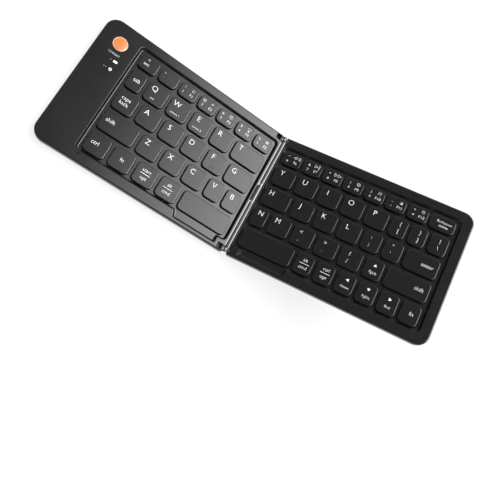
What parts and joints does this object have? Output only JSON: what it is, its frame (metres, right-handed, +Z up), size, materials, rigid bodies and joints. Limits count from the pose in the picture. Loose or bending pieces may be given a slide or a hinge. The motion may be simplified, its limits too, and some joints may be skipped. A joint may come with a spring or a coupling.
{
  "type": "folding keyboard",
  "caption": "Pocket keyboard in two hinged halves with low square keys in sunken trays, a round power button, rubber feet and a charging socket, opened partway.",
  "frame": {"origin": "centre of the whole part's box in X and Y, at the height of the feet's undersides", "axes": "+X from the blank panel's end of the left half towards the raised right half, +Y towards the number row, +Z up from the table"},
  "size_m": [0.255, 0.092, 0.066],
  "materials": {
    "deck_plastic": "fine-grained dark grey moulded ABS",
    "base_plastic": "smooth satin dark grey moulded ABS",
    "key_plastic": "satin dark grey moulded ABS with pale printed legends",
    "button_plastic": "glossy salmon orange plastic",
    "lens_plastic": "clear light pipes",
    "plate_steel": "stamped steel",
    "plate_aluminium": "stamped aluminium",
    "contact_film": "printed polyester film",
    "dome_rubber": "silicone rubber",
    "battery_foil": "pouch cell foil",
    "board_laminate": "glass-fibre circuit board",
    "socket_steel": "drawn and plated steel",
    "foot_rubber": "black rubber",
    "magnet_nickel": "nickel-plated magnet",
    "screw_steel": "black-oxide steel",
    "hinge_steel": "satin steel",
    "spine_steel": "grey anodised rod"
  },
  "bodies": {
    "left_half": {"left_base_shell": "base_plastic", "left_deck": "deck_plastic", "left_support_plate": "plate_steel", "left_contact_sheet": "contact_film", "left_dome_sheet": "dome_rubber", "battery_cell": "battery_foil", "main_circuit_board": "board_laminate", "usb_c_socket": "socket_steel", "indicator_lenses": "lens_plastic", "left_feet": "foot_rubber", "left_magnets": "magnet_nickel", "left_screws": "screw_steel", "left_hinge_brackets": "hinge_steel", "hinge_pins": "hinge_steel", "spine_rod": "spine_steel", "link_ribbon": "contact_film"},
    "right_half": {"right_base_shell": "base_plastic", "right_deck": "deck_plastic", "right_support_plate": "plate_aluminium", "right_contact_sheet": "contact_film", "right_dome_sheet": "dome_rubber", "right_feet": "foot_rubber", "right_magnets": "magnet_nickel", "right_screws": "screw_steel", "right_hinge_brackets": "hinge_steel"},
    "power_button": {"power_button": "button_plastic"},
    "key_q": {"key_q": "key_plastic"},
    "key_w": {"key_w": "key_plastic"},
    "key_e": {"key_e": "key_plastic"},
    "key_r": {"key_r": "key_plastic"},
    "key_t": {"key_t": "key_plastic"},
    "key_a": {"key_a": "key_plastic"},
    "key_s": {"key_s": "key_plastic"},
    "key_d": {"key_d": "key_plastic"},
    "key_f": {"key_f": "key_plastic"},
    "key_g": {"key_g": "key_plastic"},
    "key_z": {"key_z": "key_plastic"},
    "key_x": {"key_x": "key_plastic"},
    "key_c": {"key_c": "key_plastic"},
    "key_v": {"key_v": "key_plastic"},
    "key_b": {"key_b": "key_plastic"},
    "space_key_left": {"space_key_left": "key_plastic"},
    "number_keys_left": {"number_keys_left": "key_plastic"},
    "side_keys_left": {"side_keys_left": "key_plastic"},
    "key_y": {"key_y": "key_plastic"},
    "key_u": {"key_u": "key_plastic"},
    "key_i": {"key_i": "key_plastic"},
    "key_o": {"key_o": "key_plastic"},
    "key_p": {"key_p": "key_plastic"},
    "key_h": {"key_h": "key_plastic"},
    "key_j": {"key_j": "key_plastic"},
    "key_k": {"key_k": "key_plastic"},
    "key_l": {"key_l": "key_plastic"},
    "key_n": {"key_n": "key_plastic"},
    "key_m": {"key_m": "key_plastic"},
    "space_key_right": {"space_key_right": "key_plastic"},
    "number_keys_right": {"number_keys_right": "key_plastic"},
    "side_keys_right": {"side_keys_right": "key_plastic"},
    "punctuation_keys": {"punctuation_keys": "key_plastic"},
    "arrow_keys": {"arrow_keys": "key_plastic"}
  },
  "joints": [
    {"name": "fold", "type": "hinge", "parent": "left_half", "child": "right_half", "pos_m": [0.00587, 0, 0.00765], "axis": [0, -1, 0], "range_deg": [-26.25, 153.75]},
    {"name": "power_button_press", "type": "slide", "parent": "left_half", "child": "power_button", "axis": [0, 0, -1], "range_m": [0, 0.0005], "stiffness_N_per_m": 400},
    {"name": "key_q_press", "type": "slide", "parent": "left_half", "child": "key_q", "axis": [0, 0, -1], "range_m": [0, 0.0013], "stiffness_N_per_m": 400},
    {"name": "key_w_press", "type": "slide", "parent": "left_half", "child": "key_w", "axis": [0, 0, -1], "range_m": [0, 0.0013], "stiffness_N_per_m": 400},
    {"name": "key_e_press", "type": "slide", "parent": "left_half", "child": "key_e", "axis": [0, 0, -1], "range_m": [0, 0.0013], "stiffness_N_per_m": 400},
    {"name": "key_r_press", "type": "slide", "parent": "left_half", "child": "key_r", "axis": [0, 0, -1], "range_m": [0, 0.0013], "stiffness_N_per_m": 400},
    {"name": "key_t_press", "type": "slide", "parent": "left_half", "child": "key_t", "axis": [0, 0, -1], "range_m": [0, 0.0013], "stiffness_N_per_m": 400},
    {"name": "key_a_press", "type": "slide", "parent": "left_half", "child": "key_a", "axis": [0, 0, -1], "range_m": [0, 0.0013], "stiffness_N_per_m": 400},
    {"name": "key_s_press", "type": "slide", "parent": "left_half", "child": "key_s", "axis": [0, 0, -1], "range_m": [0, 0.0013], "stiffness_N_per_m": 400},
    {"name": "key_d_press", "type": "slide", "parent": "left_half", "child": "key_d", "axis": [0, 0, -1], "range_m": [0, 0.0013], "stiffness_N_per_m": 400},
    {"name": "key_f_press", "type": "slide", "parent": "left_half", "child": "key_f", "axis": [0, 0, -1], "range_m": [0, 0.0013], "stiffness_N_per_m": 400},
    {"name": "key_g_press", "type": "slide", "parent": "left_half", "child": "key_g", "axis": [0, 0, -1], "range_m": [0, 0.0013], "stiffness_N_per_m": 400},
    {"name": "key_z_press", "type": "slide", "parent": "left_half", "child": "key_z", "axis": [0, 0, -1], "range_m": [0, 0.0013], "stiffness_N_per_m": 400},
    {"name": "key_x_press", "type": "slide", "parent": "left_half", "child": "key_x", "axis": [0, 0, -1], "range_m": [0, 0.0013], "stiffness_N_per_m": 400},
    {"name": "key_c_press", "type": "slide", "parent": "left_half", "child": "key_c", "axis": [0, 0, -1], "range_m": [0, 0.0013], "stiffness_N_per_m": 400},
    {"name": "key_v_press", "type": "slide", "parent": "left_half", "child": "key_v", "axis": [0, 0, -1], "range_m": [0, 0.0013], "stiffness_N_per_m": 400},
    {"name": "key_b_press", "type": "slide", "parent": "left_half", "child": "key_b", "axis": [0, 0, -1], "range_m": [0, 0.0013], "stiffness_N_per_m": 400},
    {"name": "space_key_left_press", "type": "slide", "parent": "left_half", "child": "space_key_left", "axis": [0, 0, -1], "range_m": [0, 0.0013], "stiffness_N_per_m": 400},
    {"name": "number_keys_left_press", "type": "slide", "parent": "left_half", "child": "number_keys_left", "axis": [0, 0, -1], "range_m": [0, 0.0013], "stiffness_N_per_m": 400},
    {"name": "side_keys_left_press", "type": "slide", "parent": "left_half", "child": "side_keys_left", "axis": [0, 0, -1], "range_m": [0, 0.0013], "stiffness_N_per_m": 400},
    {"name": "key_y_press", "type": "slide", "parent": "right_half", "child": "key_y", "axis": [0.4423, 0, -0.8969], "range_m": [0, 0.0013], "stiffness_N_per_m": 400},
    {"name": "key_u_press", "type": "slide", "parent": "right_half", "child": "key_u", "axis": [0.4423, 0, -0.8969], "range_m": [0, 0.0013], "stiffness_N_per_m": 400},
    {"name": "key_i_press", "type": "slide", "parent": "right_half", "child": "key_i", "axis": [0.4423, 0, -0.8969], "range_m": [0, 0.0013], "stiffness_N_per_m": 400},
    {"name": "key_o_press", "type": "slide", "parent": "right_half", "child": "key_o", "axis": [0.4423, 0, -0.8969], "range_m": [0, 0.0013], "stiffness_N_per_m": 400},
    {"name": "key_p_press", "type": "slide", "parent": "right_half", "child": "key_p", "axis": [0.4423, 0, -0.8969], "range_m": [0, 0.0013], "stiffness_N_per_m": 400},
    {"name": "key_h_press", "type": "slide", "parent": "right_half", "child": "key_h", "axis": [0.4423, 0, -0.8969], "range_m": [0, 0.0013], "stiffness_N_per_m": 400},
    {"name": "key_j_press", "type": "slide", "parent": "right_half", "child": "key_j", "axis": [0.4423, 0, -0.8969], "range_m": [0, 0.0013], "stiffness_N_per_m": 400},
    {"name": "key_k_press", "type": "slide", "parent": "right_half", "child": "key_k", "axis": [0.4423, 0, -0.8969], "range_m": [0, 0.0013], "stiffness_N_per_m": 400},
    {"name": "key_l_press", "type": "slide", "parent": "right_half", "child": "key_l", "axis": [0.4423, 0, -0.8969], "range_m": [0, 0.0013], "stiffness_N_per_m": 400},
    {"name": "key_n_press", "type": "slide", "parent": "right_half", "child": "key_n", "axis": [0.4423, 0, -0.8969], "range_m": [0, 0.0013], "stiffness_N_per_m": 400},
    {"name": "key_m_press", "type": "slide", "parent": "right_half", "child": "key_m", "axis": [0.4423, 0, -0.8969], "range_m": [0, 0.0013], "stiffness_N_per_m": 400},
    {"name": "space_key_right_press", "type": "slide", "parent": "right_half", "child": "space_key_right", "axis": [0.4423, 0, -0.8969], "range_m": [0, 0.0013], "stiffness_N_per_m": 400},
    {"name": "number_keys_right_press", "type": "slide", "parent": "right_half", "child": "number_keys_right", "axis": [0.4423, 0, -0.8969], "range_m": [0, 0.0013], "stiffness_N_per_m": 400},
    {"name": "side_keys_right_press", "type": "slide", "parent": "right_half", "child": "side_keys_right", "axis": [0.4423, 0, -0.8969], "range_m": [0, 0.0013], "stiffness_N_per_m": 400},
    {"name": "punctuation_keys_press", "type": "slide", "parent": "right_half", "child": "punctuation_keys", "axis": [0.4423, 0, -0.8969], "range_m": [0, 0.0013], "stiffness_N_per_m": 400},
    {"name": "arrow_keys_press", "type": "slide", "parent": "right_half", "child": "arrow_keys", "axis": [0.4423, 0, -0.8969], "range_m": [0, 0.0013], "stiffness_N_per_m": 400}
  ]
}
